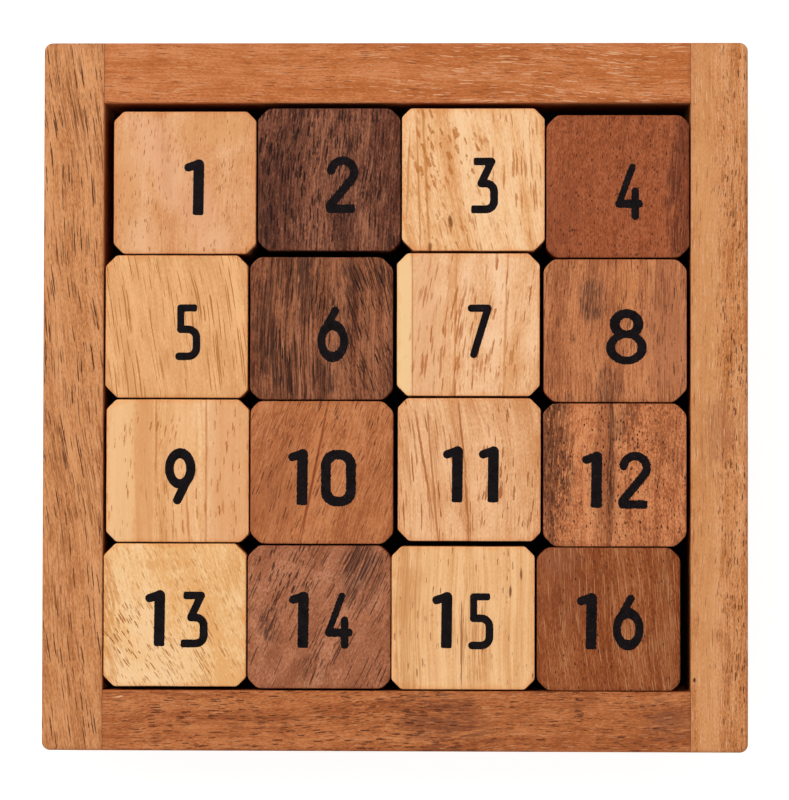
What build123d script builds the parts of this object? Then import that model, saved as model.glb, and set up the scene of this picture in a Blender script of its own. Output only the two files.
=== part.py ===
from build123d import *

import os

# A wooden number puzzle: sixteen numbered hardwood tiles in a shallow square tray.
#
# The tray is four rails butt-jointed into a square, glued, held by brads and closed
# underneath by a plywood panel in a routed pocket. The tiles fill the tray with a little
# slack. One is lifted out, and then the others slide.
#
# Frame: millimetres, origin at the centre of the tray's underside, +Z up out of the tray,
# +Y towards the row of tiles 1 to 4, +X towards the column of tiles 4, 8, 12 and 16.

# ---- Driving dimensions ----
TRAY_WIDTH = 125.0
TRAY_LENGTH = 125.65
TRAY_HEIGHT = 22.0
LEFT_STILE_WIDTH = 10.7
RIGHT_STILE_WIDTH = 10.1
TOP_RAIL_WIDTH = 10.7
BOTTOM_RAIL_WIDTH = 10.7
TILE_SIDE = 25.35
TILES_PER_SIDE = 4
PANEL_THICKNESS = 3.0
NUMERAL_HEIGHT = 10.0

# ---- The tray's details ----
TRAY_CORNER_RADIUS = 1.5
OUTER_ARRIS = 0.6  # rounding of the tray's outside edges
INNER_ARRIS = 0.3  # rounding of the top edge around the tiles
GLUE_LINE = 0.06  # at each end of the top and bottom rails
POCKET_LEDGE = 5.0  # how far the panel reaches under the rails
POCKET_CORNER_RADIUS = 4.0
PANEL_CLEARANCE = 0.15

# ---- The tiles' details ----
TILE_RECESS = 0.2  # the tiles' tops below the tray's top
TILE_CHAMFER = 1.8  # leg of the chamfer on each upright corner
SOFTENED_RADIUS = 1.0  # sanding of the chamfers on the dark tiles
TILE_ARRIS = 0.25
IMPRINT_DEPTH = 0.25  # how deep a number is pressed into the wood
INK_RECESS = 0.04  # the ink's surface below the tile's top
INK_CLEARANCE = 0.02

# ---- Fasteners ----
NAIL_CLEARANCE = 0.02
NAIL_HEAD_THICKNESS = 0.5
NAIL_POINT_LENGTH = 1.5
BRAD_LENGTH = 24.0
BRAD_DIAMETER = 1.2
BRAD_HEAD_DIAMETER = 2.0
BRAD_HEIGHTS = (7.0, 16.0)  # above the tray's underside
PIN_LENGTH = 13.0
PIN_DIAMETER = 1.1
PIN_HEAD_DIAMETER = 2.2
PIN_SPACING = 60.0  # between the two pins on each side of the panel

# ---- Where each tile has come to rest in its slack ----
# The free space left of each tile in its row. The rest is right of the last tile.
GAPS_LEFT = (
    (1.75, 0.30, 0.25, 0.25),
    (0.35, 0.40, 0.70, 0.65),
    (0.60, 0.25, 0.80, 0.40),
    (0.20, 0.25, 0.15, 0.35),
)
# The free space above each tile in its column. The rest is below the last tile.
GAPS_ABOVE = (
    (1.50, 0.95, 0.95, 2.15),
    (0.25, 1.10, 0.40, 0.25),
    (0.25, 0.20, 0.35, 0.20),
    (0.20, 0.25, 0.90, 0.15),
)

# ---- Where a number is stamped on its tile ----
BASELINE = -6.0  # from the tile's centre
DIGIT_GAP = 2.8  # between the two digits of a number
ZERO_GAP = 2.3  # before a zero
SINGLE_SHIFT = 2.0  # one digit stands right of the centre
PAIR_SHIFT = 0.3  # two digits stand nearly in the middle
NINE_SHIFT = 0.5  # the nine is the one single digit placed like a pair
# How far right and up some numbers landed from their usual place
STAMP_DRIFT = {
    1: (-0.35, 0),
    2: (0.3, 0),
    10: (-0.25, 0),
    13: (0, 0.25),
    14: (0, 0.35),
    15: (-0.35, 0.45),
    16: (0, 0.5),
}
SQUARE_END_RADIUS = 0.35  # at the corners of a square-ended stroke

# ---- Derived sizes ----
HALF_WIDTH = TRAY_WIDTH / 2
HALF_LENGTH = TRAY_LENGTH / 2
OPENING_WIDTH = TRAY_WIDTH - LEFT_STILE_WIDTH - RIGHT_STILE_WIDTH
OPENING_LENGTH = TRAY_LENGTH - TOP_RAIL_WIDTH - BOTTOM_RAIL_WIDTH
OPENING_LEFT = LEFT_STILE_WIDTH - HALF_WIDTH
OPENING_TOP = HALF_LENGTH - TOP_RAIL_WIDTH
OPENING_MIDDLE = Pos(OPENING_LEFT + OPENING_WIDTH / 2, OPENING_TOP - OPENING_LENGTH / 2)
TILE_HEIGHT = TRAY_HEIGHT - PANEL_THICKNESS - TILE_RECESS
FLOOR_ALIGN = (Align.CENTER, Align.CENTER, Align.MIN)


# ---- The tray ----
def tray_ring():
    """The four rails as they are after glue-up: edges eased and the pocket routed."""
    outside = extrude(RectangleRounded(TRAY_WIDTH, TRAY_LENGTH, TRAY_CORNER_RADIUS), TRAY_HEIGHT)
    rims = outside.faces().sort_by(Axis.Z)
    outside = fillet(rims[0].edges() + rims[-1].edges(), OUTER_ARRIS)
    ring = outside - OPENING_MIDDLE * Box(OPENING_WIDTH, OPENING_LENGTH, TRAY_HEIGHT, align=FLOOR_ALIGN)
    top = ring.faces().sort_by(Axis.Z)[-1]
    ring = fillet(top.inner_wires()[0].edges(), INNER_ARRIS)
    return ring - panel_pocket(clearance=0)


def panel_pocket(clearance):
    """The rounded sheet that fills the pocket, less a clearance all round."""
    width = OPENING_WIDTH + 2 * (POCKET_LEDGE - clearance)
    length = OPENING_LENGTH + 2 * (POCKET_LEDGE - clearance)
    outline = RectangleRounded(width, length, POCKET_CORNER_RADIUS - clearance)
    return OPENING_MIDDLE * extrude(outline, PANEL_THICKNESS)


def tray_members(ring):
    """The ring cut at its butt joints: the stiles run full height and the rails fit between."""
    stiles = []
    for side, width in ((-1, LEFT_STILE_WIDTH), (1, RIGHT_STILE_WIDTH)):
        block = Box(width, TRAY_LENGTH, TRAY_HEIGHT, align=FLOOR_ALIGN)
        stiles.append(ring & Pos(side * (HALF_WIDTH - width / 2), 0) * block)
    rails = []
    middle = OPENING_LEFT + OPENING_WIDTH / 2
    for end, width in ((1, TOP_RAIL_WIDTH), (-1, BOTTOM_RAIL_WIDTH)):
        block = Box(OPENING_WIDTH - 2 * GLUE_LINE, width, TRAY_HEIGHT, align=FLOOR_ALIGN)
        rails.append(ring & Pos(middle, end * (HALF_LENGTH - width / 2)) * block)
    return {
        "left_stile": stiles[0],
        "right_stile": stiles[1],
        "top_rail": rails[0],
        "bottom_rail": rails[1],
    }


# ---- Fasteners ----
def nail(length, diameter, head_diameter, clearance=0):
    """A round wire nail: its head's face at the origin, its shank down to a point in -Z."""
    shank = diameter / 2 + clearance
    head = head_diameter / 2 + clearance
    under_head = -NAIL_HEAD_THICKNESS - clearance
    tip = -length - clearance
    profile = Polyline(
        (0, 0),
        (head, 0),
        (head, under_head),
        (shank, under_head),
        (shank, tip + NAIL_POINT_LENGTH),
        (0, tip),
        close=True,
    )
    return revolve(Plane.XZ * make_face(profile), Axis.Z)


def brad_places():
    """Two brads through each end of each stile, into the end grain of the rails."""
    rail_lines = (HALF_LENGTH - TOP_RAIL_WIDTH / 2, BOTTOM_RAIL_WIDTH / 2 - HALF_LENGTH)
    places = []
    for side in (-1, 1):
        for rail_line in rail_lines:
            for height in BRAD_HEIGHTS:
                on_face = Pos(side * HALF_WIDTH, rail_line, height)
                places.append(on_face * Rot(0, side * 90, 0))
    return places


def pin_places():
    """Two pins up through each side of the panel into the rails."""
    places = []
    for quarter in range(4):
        opening = OPENING_LENGTH if quarter % 2 == 0 else OPENING_WIDTH
        line = (opening + POCKET_LEDGE) / 2
        for along in (-PIN_SPACING / 2, PIN_SPACING / 2):
            on_side = Rot(0, 0, 90 * quarter) * Pos(along, line, 0) * Rot(180, 0, 0)
            places.append(OPENING_MIDDLE * on_side)
    return places


def brads(clearance=0):
    """The eight brads, or their holes when given a clearance."""
    brad = nail(BRAD_LENGTH, BRAD_DIAMETER, BRAD_HEAD_DIAMETER, clearance)
    return [place * brad for place in brad_places()]


def pins(clearance=0):
    """The eight panel pins, or their holes when given a clearance."""
    pin = nail(PIN_LENGTH, PIN_DIAMETER, PIN_HEAD_DIAMETER, clearance)
    return [place * pin for place in pin_places()]


# ---- Digits: each stands on y = 0 around x = 0, and an inset narrows its strokes all round ----
def pen(path, width, inset):
    """What a round pen covers along a path, less the inset."""
    return make_face(Wire(path.edges()).offset_2d(width / 2 - inset))


def bar(start, end, width, inset):
    """A straight stroke between two square ends, less the inset."""
    line = Line(start, end)
    block = RectangleRounded(line.length - 2 * inset, width - 2 * inset, SQUARE_END_RADIUS - inset)
    return Pos(line @ 0.5) * Rot(0, 0, line.tangent_angle_at(0.5)) * block


def oval(width, height, inset, x=0, y=0):
    """The outside of an oval stroke, less the inset."""
    return Pos(x, y) * Ellipse(width / 2 - inset, height / 2 - inset)


def digit_1(inset):
    stem = pen(Line((0.56, 1.5), (0.65, 9.2)), 1.9, inset) + bar((0.54, 0.2), (0.6, 5), 1.9, inset)
    flag = pen(Line((0.55, 9.3), (-1.2, 8.7)), 1.5, inset)
    return stem + flag


def digit_2(inset):
    hook = CenterArc((0.3, 7.3), 2.05, 172, -207)
    diagonal = Line(hook @ 1, (-1.95, 1.35))
    corner = Line(diagonal @ 1, (-1.9, 0.8))
    base = bar((-2.3, 0.8), (2.5, 0.8), 1.5, inset)
    return pen(hook, 1.5, inset) + pen(diagonal, 1.5, inset) + pen(corner, 1.5, inset) + base


def digit_3(inset):
    upper = pen(Polyline((-1, 9.2), (1.2, 9.2), (-0.6, 5.4)), 1.35, inset)
    top_end = bar((-1.95, 9.2), (0.5, 9.2), 1.35, inset)
    bowl = FilletPolyline((-0.6, 5.3), (1.65, 5.3), (1.65, 0.7), (-1, 0.7), radius=1.45)
    tail = bar((-2.4, 0.7), (0, 0.7), 1.4, inset)
    return upper + top_end + pen(bowl, 1.4, inset) + tail


def digit_4(inset):
    slant = Line((0.6, 9.4), (-1.75, 2.95))
    crossbar = Line((-1.7, 2.9), (1.75, 2.9))
    post = Line((1.1, 5.1), (1.1, 0.7))
    return pen(slant, 1.2, inset) + pen(crossbar, 1.5, inset) + pen(post, 1.35, inset)


def digit_5(inset):
    upper = pen(Polyline((0.8, 9.3), (-1.2, 9.3), (-1.2, 5.5)), 1.25, inset)
    top_end = bar((-0.5, 9.3), (1.7, 9.3), 1.25, inset)
    bowl = FilletPolyline((-1.2, 5.5), (1.6, 5.5), (1.6, 0.7), (-1.5, 0.7), radius=1.5)
    return upper + top_end + pen(bowl, 1.35, inset)


def digit_6(inset):
    stem = Line((0.45, 9.2), (-1.7, 5.2))
    eye = oval(2.6, 3.8, -inset, y=3.75)
    return pen(stem, 1.35, inset) + oval(5.4, 7.5, inset, y=3.75) - eye


def digit_7(inset):
    stroke = Polyline((-1.5, 8.9), (1.45, 8.9), (-1.05, 0.7))
    return pen(stroke, 1.3, inset)


def digit_8(inset):
    upper_eye = oval(2.4, 2.2, -inset, y=7.15)
    lower_eye = oval(4.0, 3.3, -inset, y=3.05)
    return oval(6.0, 5.3, inset, y=7.15) + oval(7.2, 5.9, inset, y=2.95) - upper_eye - lower_eye


def digit_9(inset):
    eye = oval(2.2, 3.7, -inset, x=0.1, y=6.35)
    tail = Line((1.3, 4.2), (-0.35, 0.8))
    return oval(5.4, 7.2, inset, x=0.15, y=6.4) + pen(tail, 1.55, inset) - eye


def digit_0(inset):
    outside = RectangleRounded(6.2 - 2 * inset, NUMERAL_HEIGHT - 2 * inset, 2.7 - inset)
    eye = RectangleRounded(2.7 + 2 * inset, 6.6 + 2 * inset, 1.2 + inset)
    return Pos(0, NUMERAL_HEIGHT / 2) * (outside - eye)


DIGITS = (digit_0, digit_1, digit_2, digit_3, digit_4, digit_5, digit_6, digit_7, digit_8, digit_9)


def number_centre(number):
    """Where the middle of a number's digits stands, on a tile centred on the origin."""
    usual = PAIR_SHIFT if number > 9 else NINE_SHIFT if number == 9 else SINGLE_SHIFT
    right, up = STAMP_DRIFT.get(number, (0, 0))
    return usual + right, BASELINE + up


def numeral(number, inset):
    """The number's digits side by side, placed for a tile centred on the origin."""
    row = Sketch()
    right_edge = 0
    for character in str(number):
        outline = DIGITS[int(character)](0).bounding_box()
        gap = 0 if not row else ZERO_GAP if character == "0" else DIGIT_GAP
        row += Pos(right_edge + gap - outline.min.X, 0) * DIGITS[int(character)](inset)
        right_edge += gap + outline.size.X
    x, y = number_centre(number)
    return Pos(x - right_edge / 2, y) * row


# ---- Tiles ----
def tile_block(softened):
    """A square block with chamfered upright corners and eased edges, standing on z = 0."""
    outline = Rectangle(TILE_SIDE, TILE_SIDE)
    outline = chamfer(outline.vertices(), TILE_CHAMFER)
    if softened:
        outline = fillet(outline.vertices(), SOFTENED_RADIUS)
    block = extrude(outline, TILE_HEIGHT)
    ends = block.faces().sort_by(Axis.Z)
    return fillet(ends[0].edges() + ends[-1].edges(), TILE_ARRIS)


def tile_place(row, column):
    """Where a tile rests, from the free space beside it in its row and above it in its column."""
    from_left = sum(GAPS_LEFT[row][: column + 1]) + TILE_SIDE * (column + 0.5)
    from_top = sum(gaps[column] for gaps in GAPS_ABOVE[: row + 1]) + TILE_SIDE * (row + 0.5)
    return Pos(OPENING_LEFT + from_left, OPENING_TOP - from_top, PANEL_THICKNESS)


def numbered_tile(number):
    """A tile with its number pressed into the top, and the ink that fills the imprint."""
    row, column = divmod(number - 1, TILES_PER_SIDE)
    place = tile_place(row, column)
    imprint_floor = Pos(0, 0, TILE_HEIGHT - IMPRINT_DEPTH)
    imprint = imprint_floor * extrude(numeral(number, 0), IMPRINT_DEPTH)
    ink = imprint_floor * extrude(numeral(number, INK_CLEARANCE), IMPRINT_DEPTH - INK_RECESS)
    is_dark = number % 2 == 0
    return place * (tile_block(softened=is_dark) - imprint), place * ink


# ---- The assembly ----
def build_nodes():
    """Every node's name and its solids."""
    nodes = tray_members(tray_ring())
    nodes["base_panel"] = panel_pocket(PANEL_CLEARANCE)
    holes = brads(NAIL_CLEARANCE) + pins(NAIL_CLEARANCE)
    nodes = {name: wood - holes for name, wood in nodes.items()}
    nodes["frame_brads"] = Compound(children=brads())
    nodes["panel_pins"] = Compound(children=pins())
    for number in range(1, TILES_PER_SIDE**2 + 1):
        tile, ink = numbered_tile(number)
        nodes[f"tile_{number:02d}"] = tile
        nodes[f"numeral_{number:02d}"] = ink
    return nodes


os.makedirs("parts", exist_ok=True)
for name, shape in build_nodes().items():
    export_step(shape, f"parts/{name}.step")
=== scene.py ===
"""Sliding tile puzzle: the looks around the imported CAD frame.

The tray's members, panel and nails are the CAD's own meshes with procedural materials. The tiles are
rebuilt with the small unevenness of hand sanding, and the numerals as ink with a rough rim.
Blender's unit is the metre. A name that ends in _MM, and every length or place in a Look, is in millimetres.
"""

import math
from dataclasses import dataclass, field
from functools import reduce

import bmesh
import bpy
from mathutils import Matrix, Quaternion, Vector, geometry, noise


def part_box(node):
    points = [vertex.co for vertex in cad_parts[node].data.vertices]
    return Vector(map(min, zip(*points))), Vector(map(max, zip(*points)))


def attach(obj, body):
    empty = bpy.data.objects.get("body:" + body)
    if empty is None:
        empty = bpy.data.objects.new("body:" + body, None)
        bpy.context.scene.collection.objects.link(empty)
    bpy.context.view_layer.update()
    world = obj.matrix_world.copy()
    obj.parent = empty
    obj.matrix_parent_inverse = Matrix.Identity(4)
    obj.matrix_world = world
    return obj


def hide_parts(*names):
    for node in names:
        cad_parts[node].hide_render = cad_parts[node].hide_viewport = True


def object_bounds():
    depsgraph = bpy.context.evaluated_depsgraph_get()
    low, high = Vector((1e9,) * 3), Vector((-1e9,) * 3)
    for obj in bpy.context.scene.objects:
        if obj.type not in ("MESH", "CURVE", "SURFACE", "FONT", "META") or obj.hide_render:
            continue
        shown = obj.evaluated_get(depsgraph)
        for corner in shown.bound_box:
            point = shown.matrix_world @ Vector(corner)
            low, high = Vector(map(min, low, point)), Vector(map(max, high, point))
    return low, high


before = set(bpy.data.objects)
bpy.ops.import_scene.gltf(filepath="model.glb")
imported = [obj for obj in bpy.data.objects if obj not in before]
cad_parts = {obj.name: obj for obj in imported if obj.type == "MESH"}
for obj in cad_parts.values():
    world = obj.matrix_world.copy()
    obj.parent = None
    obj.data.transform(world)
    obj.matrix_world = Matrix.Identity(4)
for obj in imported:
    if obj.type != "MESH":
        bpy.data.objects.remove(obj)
cad_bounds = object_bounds()

MM = 0.001
TILE_COUNT = 16


# -------------------------------- material graph


def srgb(red, green, blue):
    """A colour as a screen shows it (0 to 255), in Blender's linear terms, by the sRGB curve."""

    def linear(level):
        share = level / 255
        return share / 12.92 if share <= 0.04045 else ((share + 0.055) / 1.055) ** 2.4

    return (linear(red), linear(green), linear(blue), 1.0)


class Value:
    """A number, vector or colour in a material. Sums and products of values add the nodes they need."""

    def __init__(self, tree, socket):
        self.tree = tree
        self.socket = socket

    def math(self, operation, *others):
        return add_node(self.tree, "ShaderNodeMath", (self, *others), operation=operation)

    def __add__(self, other):
        return self.math("ADD", other)

    def __sub__(self, other):
        return self.math("SUBTRACT", other)

    def __mul__(self, other):
        return self.math("MULTIPLY", other)

    def __truediv__(self, other):
        return self.math("DIVIDE", other)

    def __abs__(self):
        return self.math("ABSOLUTE")

    def top(self, other):
        return self.math("MAXIMUM", other)

    def ramp(self, start, end):
        """A smooth step: 0 at start and 1 at end, whichever of them is the larger."""
        inputs = {"Value": self, "From Min": start, "From Max": end}
        return add_node(self.tree, "ShaderNodeMapRange", inputs, interpolation_type="SMOOTHSTEP")

    def part(self, axis):
        """One coordinate of a vector."""
        return add_node(self.tree, "ShaderNodeSeparateXYZ", (self,), output=axis)

    def scaled(self, scale, shift=(0, 0, 0)):
        """A vector times scale plus shift, coordinate by coordinate."""
        inputs = (self, scale, shift)
        return add_node(self.tree, "ShaderNodeVectorMath", inputs, operation="MULTIPLY_ADD")

    def turned(self, degrees):
        """A vector turned about the upright axis."""
        inputs = {"Vector": self, "Angle": math.radians(degrees)}
        return add_node(self.tree, "ShaderNodeVectorRotate", inputs, rotation_type="Z_AXIS")


def add_node(tree, kind, inputs=(), output=0, **settings):
    """Adds one node, plugs its inputs (by order or by name) and returns one output as a Value."""
    node = tree.nodes.new(kind)
    for key, value in settings.items():
        setattr(node, key, value)
    pairs = inputs.items() if isinstance(inputs, dict) else enumerate(inputs)
    for key, value in pairs:
        plug(tree, node.inputs[key], value)
    return Value(tree, node.outputs[output])


def plug(tree, socket, value):
    """Links a Value to an input, or sets the input to a plain number, vector or colour."""
    if isinstance(value, Value):
        tree.links.new(value.socket, socket)
    else:
        socket.default_value = value


def combined(x, y, z):
    """A vector from three numbers."""
    return add_node(x.tree, "ShaderNodeCombineXYZ", (x, y, z))


def mixed(share, first, second, blend="MIX"):
    """Two colours mixed: first at share 0, second at share 1."""
    tree = share.tree
    node = tree.nodes.new("ShaderNodeMix")
    node.data_type = "RGBA"
    node.blend_type = blend
    node.clamp_factor = True
    colour_inputs = [socket for socket in node.inputs if socket.type == "RGBA"]
    colour_output = next(socket for socket in node.outputs if socket.type == "RGBA")
    plug(tree, node.inputs[0], share)
    plug(tree, colour_inputs[0], first)
    plug(tree, colour_inputs[1], second)
    return Value(tree, colour_output)


def colour_ramp(value, stops):
    """Colours by position along 0 to 1."""
    ramp = add_node(value.tree, "ShaderNodeValToRGB", (value,))
    elements = ramp.socket.node.color_ramp.elements
    while len(elements) < len(stops):
        elements.new(1.0)
    for element, (position, colour) in zip(elements, stops):
        element.position = position
        element.color = colour
    return ramp


def fresh_material(name):
    """A new material, with its node tree and its Principled shader."""
    material = bpy.data.materials.new(name)
    material.use_nodes = True
    tree = material.node_tree
    shader = tree.nodes["Principled BSDF"]
    return material, tree, shader


PLAIN_SHINE = 0.5


def finish_surface(shader, colour, roughness, relief, bump, shine=PLAIN_SHINE):
    """Plugs a shader's colour, roughness, shine and relief. Bump is the relief's strength, and its
    height in mm where relief is 1."""
    tree = colour.tree
    strength, height = bump
    bump_inputs = {"Strength": strength, "Distance": height * MM, "Height": relief}
    plug(tree, shader.inputs["Base Color"], colour)
    plug(tree, shader.inputs["Roughness"], roughness)
    plug(tree, shader.inputs["Specular IOR Level"], shine)
    plug(tree, shader.inputs["Normal"], add_node(tree, "ShaderNodeBump", bump_inputs))


def object_point(tree):
    """The place on the object at rest, in mm, in the row frame."""
    metres = add_node(tree, "ShaderNodeTexCoord", output="Object")
    return metres.scaled((1 / MM, 1 / MM, 1 / MM))


def object_normal(tree):
    """The direction a surface faces, in the row frame."""
    return add_node(tree, "ShaderNodeTexCoord", output="Normal")


# -------------------------------- patterns

NOISE_MIDDLE = 0.5
NOISE_SPREAD = 0.115  # how far the noise usually strays from its middle


def clouds(point, width, length, seed=0.0, detail=1.0, roughness=0.5):
    """Noise with blobs of about width across the grain (x and z) and length along it (y).
    Its middle is 0 and its usual spread 1. Each seed looks at another place in the noise."""
    shift = (seed * 17.3, seed * 7.9 + 3.1, seed * 5.3)
    stretched = point.scaled((1 / width, 1 / length, 1 / width), shift)
    inputs = {"Vector": stretched, "Scale": 1.0, "Detail": detail, "Roughness": roughness}
    level = add_node(point.tree, "ShaderNodeTexNoise", inputs)
    return (level - NOISE_MIDDLE) / NOISE_SPREAD


RAMP_REACH = 3.0  # a colour ramp runs from -3 to 3 spreads of the noise


def ramp_place(level):
    """A level in spreads of the noise as a position along a colour ramp."""
    return level / (2 * RAMP_REACH) + 0.5


DASH_REACH = 0.4  # half the width of a dash of size 1, as a share of its cell
SMALLEST_DASH = 0.5
DASH_SIZE_RANGE = 0.6
MEAN_DASH = SMALLEST_DASH + DASH_SIZE_RANGE / 2
FAINTEST_DASH = 0.6
DASH_FADE = (DASH_REACH * 1.05, DASH_REACH * 0.8)  # a dash ends and is full this far from its middle
DASH_RAGGED = 0.05
DASH_BLUR = 0.02
DASH_CROWDING = 0.35  # how strongly dashes gather in patches
DASH_PATCH_MM = (4.0, 9.0)


def dashes(point, width, length, share, seed=0.0):
    """Separate long dashes, like the pores of open-grained wood: 1 inside a dash, 0 outside.
    Share is how many of the possible places hold one."""
    cell_across = width / DASH_REACH / (2 * MEAN_DASH)
    cell_along = length / DASH_REACH / (2 * MEAN_DASH)
    shift = (seed * 11.7, seed * 4.3, seed * 8.9)
    stretched = point.scaled((1 / cell_across, 1 / cell_along, 1 / cell_across), shift)
    inputs = {"Vector": stretched, "Scale": 1.0, "Randomness": 1.0}
    away = add_node(point.tree, "ShaderNodeTexVoronoi", inputs)
    chance = Value(point.tree, away.socket.node.outputs["Color"])
    size = chance.part(1) * DASH_SIZE_RANGE + SMALLEST_DASH
    ragged = clouds(point, width * 0.6, length * 0.3, seed + 6.1, detail=0.0) * DASH_RAGGED
    inside = (away / size + ragged).ramp(*DASH_FADE)
    patches = clouds(point, *DASH_PATCH_MM, seed + 3.3, detail=0.0)
    crowd = patches * (share * DASH_CROWDING) + share
    present = (crowd - chance.part(0)).ramp(-DASH_BLUR, DASH_BLUR)
    strength = chance.part(2) * (1 - FAINTEST_DASH) + FAINTEST_DASH
    return inside * present * strength


THREAD_FADE = (-0.8, 0.5)  # the noise levels where a thread starts and is full


def threads(point, width, length, seed):
    """Fine lines along the grain, from 0 to 1, that break a dark zone up."""
    return clouds(point, width, length, seed, detail=1.0).ramp(*THREAD_FADE)


VEIN_LIMIT = 1.75  # the noise level that hardly any wood passes
VEIN_GAIN = 1.9  # how fast the limit falls as the share grows
VEIN_BLUR = 0.3
VEIN_CROWDING = 0.35
VEIN_PATCH_MM = (3.5, 12.0)
FAINTEST_VEIN = 0.4


def veins(point, width, length, share, seed=0.0):
    """Ragged dark or light streaks along the grain, covering about the given share of the wood."""
    limit = VEIN_LIMIT * (1 - share * VEIN_GAIN)
    level = clouds(point, width, length, seed + 1.1, detail=2.0, roughness=0.6)
    crowd = clouds(point, *VEIN_PATCH_MM, seed + 8.8, detail=0.0) * VEIN_CROWDING
    streaks = (level + crowd).ramp(limit - VEIN_BLUR, limit + VEIN_BLUR)
    fine = threads(point, width * 0.5, length * 1.5, seed + 4.7)
    return streaks * (fine * (1 - FAINTEST_VEIN) + FAINTEST_VEIN)


# -------------------------------- wood


@dataclass
class Pores:
    """One kind of pore on a piece of wood."""

    colour: tuple
    width: float = 0.3
    length: float = 2.0
    share: float = 0.5
    strength: float = 0.8
    lean: float = None  # degrees clockwise from upright; None follows the grain
    area: tuple = None  # (x, y, reach x, reach y): only round here
    seed: float = 0.0
    vein: bool = False  # ragged streaks in place of separate dashes


@dataclass
class Mark:
    """A streak, line, smudge or spot: a soft ellipse, ragged along the grain."""

    x: float
    y: float
    wide: float
    long: float
    colour: tuple
    strength: float = 0.6
    lean: float = None
    ragged: float = 0.25
    soft: float = 0.8


@dataclass
class Look:
    """How one piece of wood looks. Places on it are in mm from the middle of its top."""

    shade: tuple
    body: tuple
    light: tuple
    # The edge colour is partly edge wear, partly painted shade where the rounded arris turns away from the
    # light.
    rim: tuple  # colour of the edge zone
    pores: list
    lean: float = 0.0  # the grain's, in degrees clockwise from upright
    bow: float = 0.0  # how far the grain curves sideways over the piece's half length
    bands: float = 0.6  # shares of the figures in the tone: bands, fibres, mottle and grit
    band_width: float = 4.0
    fibres: float = 0.5
    fibre_width: float = 0.3
    fibre_length: float = 7.0
    mottle: float = 0.4
    mottle_size: float = 3.0
    grit: float = 0.35  # the finest speckle, of single fibres
    marks: list = field(default_factory=list)
    edge_wear_and_shade_strength: float = 0.45


GRAIN_WAVE_MM = 0.28  # how far the grain wanders sideways, in waves of the size below
GRAIN_WAVE_SIZE_MM = (9.0, 22.0)


def grain_place(point, look, half_length):
    """The point with the grain along y: turned, bowed and gently wavy."""
    grain = point.turned(look.lean)
    across, along, depth = (grain.part(axis) for axis in range(3))
    wave = clouds(grain, *GRAIN_WAVE_SIZE_MM, seed=1.7, detail=0.0) * GRAIN_WAVE_MM
    bend = along * along * (look.bow / half_length**2)
    return combined(across + wave + bend, along, depth)


TONE_EDGE = 1.5  # the shade and light colours stand this many spreads from the body colour
BAND_LENGTH_MM = 70.0
GRIT_MM = (0.17, 0.6)


def wood_tone(grain, look, seed):
    """The colour from the four figures: broad bands, fine fibres, mottling and grit."""
    size = math.hypot(look.bands, look.fibres, look.mottle, look.grit)
    bands = clouds(grain, look.band_width, BAND_LENGTH_MM, seed + 0.3, detail=1.5)
    fibres = clouds(grain, look.fibre_width, look.fibre_length, seed + 0.9, detail=3.0, roughness=0.6)
    mottle = clouds(grain, look.mottle_size, look.mottle_size * 1.8, seed + 2.1, detail=2.0)
    grit = clouds(grain, *GRIT_MM, seed + 3.7, detail=1.0)
    fibres = fibres * (look.fibres / size)
    grit = grit * (look.grit / size)
    tone = bands * (look.bands / size) + fibres + mottle * (look.mottle / size) + grit
    edge = TONE_EDGE / (2 * RAMP_REACH)
    stops = (
        (0.5 - edge, srgb(*look.shade)),
        (0.5, srgb(*look.body)),
        (0.5 + edge, srgb(*look.light)),
    )
    return colour_ramp(ramp_place(tone), stops), fibres, grit


AREA_FADE = (1.15, 0.6)  # an area ends and is full at these shares of its reach
AREA_RAGGED = 0.12


def area_mask(point, area):
    """1 in the middle of an area, 0 outside it."""
    x, y, reach_x, reach_y = area
    away_x = (point.part(0) - x) / reach_x
    away_y = (point.part(1) - y) / reach_y
    away = (away_x * away_x + away_y * away_y).math("SQRT")
    wobble = clouds(point, 3.0, 3.0, seed=6.6, detail=1.0) * AREA_RAGGED
    return (away + wobble).ramp(*AREA_FADE)


def pore_mask(point, grain, kind, look, seed):
    """How much one kind of pore covers the wood at each point, from 0 to 1."""
    if kind.lean is None:
        place = grain
    else:
        place = grain.turned(kind.lean - look.lean)
    shape = veins if kind.vein else dashes
    mask = shape(place, kind.width, kind.length, kind.share, seed + kind.seed)
    if kind.area:
        mask = mask * area_mask(point, kind.area)
    return mask * kind.strength


SMUDGE_RAGGED = 0.45  # a mark more ragged than this is a smudge, and follows the fibres
SMUDGE_THREAD_MM = (0.25, 5.0)
FAINTEST_SMUDGE = 0.55
SMUDGE_RANGE = 0.55


def mark_mask(point, grain, mark, look):
    """How much one mark covers the wood at each point, from 0 to 1."""
    lean = look.lean if mark.lean is None else mark.lean
    local = point.scaled((1, 1, 1), (-mark.x, -mark.y, 0)).turned(lean)
    wobble = clouds(grain, 0.6, 3.5, seed=mark.x + 0.7 * mark.y, detail=3.0, roughness=0.6)
    across = local.part(0) / mark.wide + wobble * mark.ragged
    along = local.part(1) / mark.long + wobble * mark.ragged * 0.5
    away = (across * across + along * along).math("SQRT")
    mask = away.ramp(1.0 + mark.soft / 2, 1.0 - mark.soft / 2) * mark.strength
    if mark.ragged > SMUDGE_RAGGED:
        fine = threads(grain, *SMUDGE_THREAD_MM, seed=mark.x)
        mask = mask * (fine * SMUDGE_RANGE + FAINTEST_SMUDGE)
    return mask


def edge_distance(point, half_x, half_y, cut):
    """How far inside the outline of the top a point is, in mm. Cut is the corners' chamfer."""
    x = abs(point.part(0))
    y = abs(point.part(1))
    corner = (x + y - (half_x + half_y - cut)) / math.sqrt(2)
    outside = (x - half_x).top(y - half_y).top(corner)
    return outside * -1.0


RIM_FADE_MM = (0.9, 0.1)  # the edge zone starts and is full at these distances from the outline
RIM_RAGGED_MM = 0.22


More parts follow.
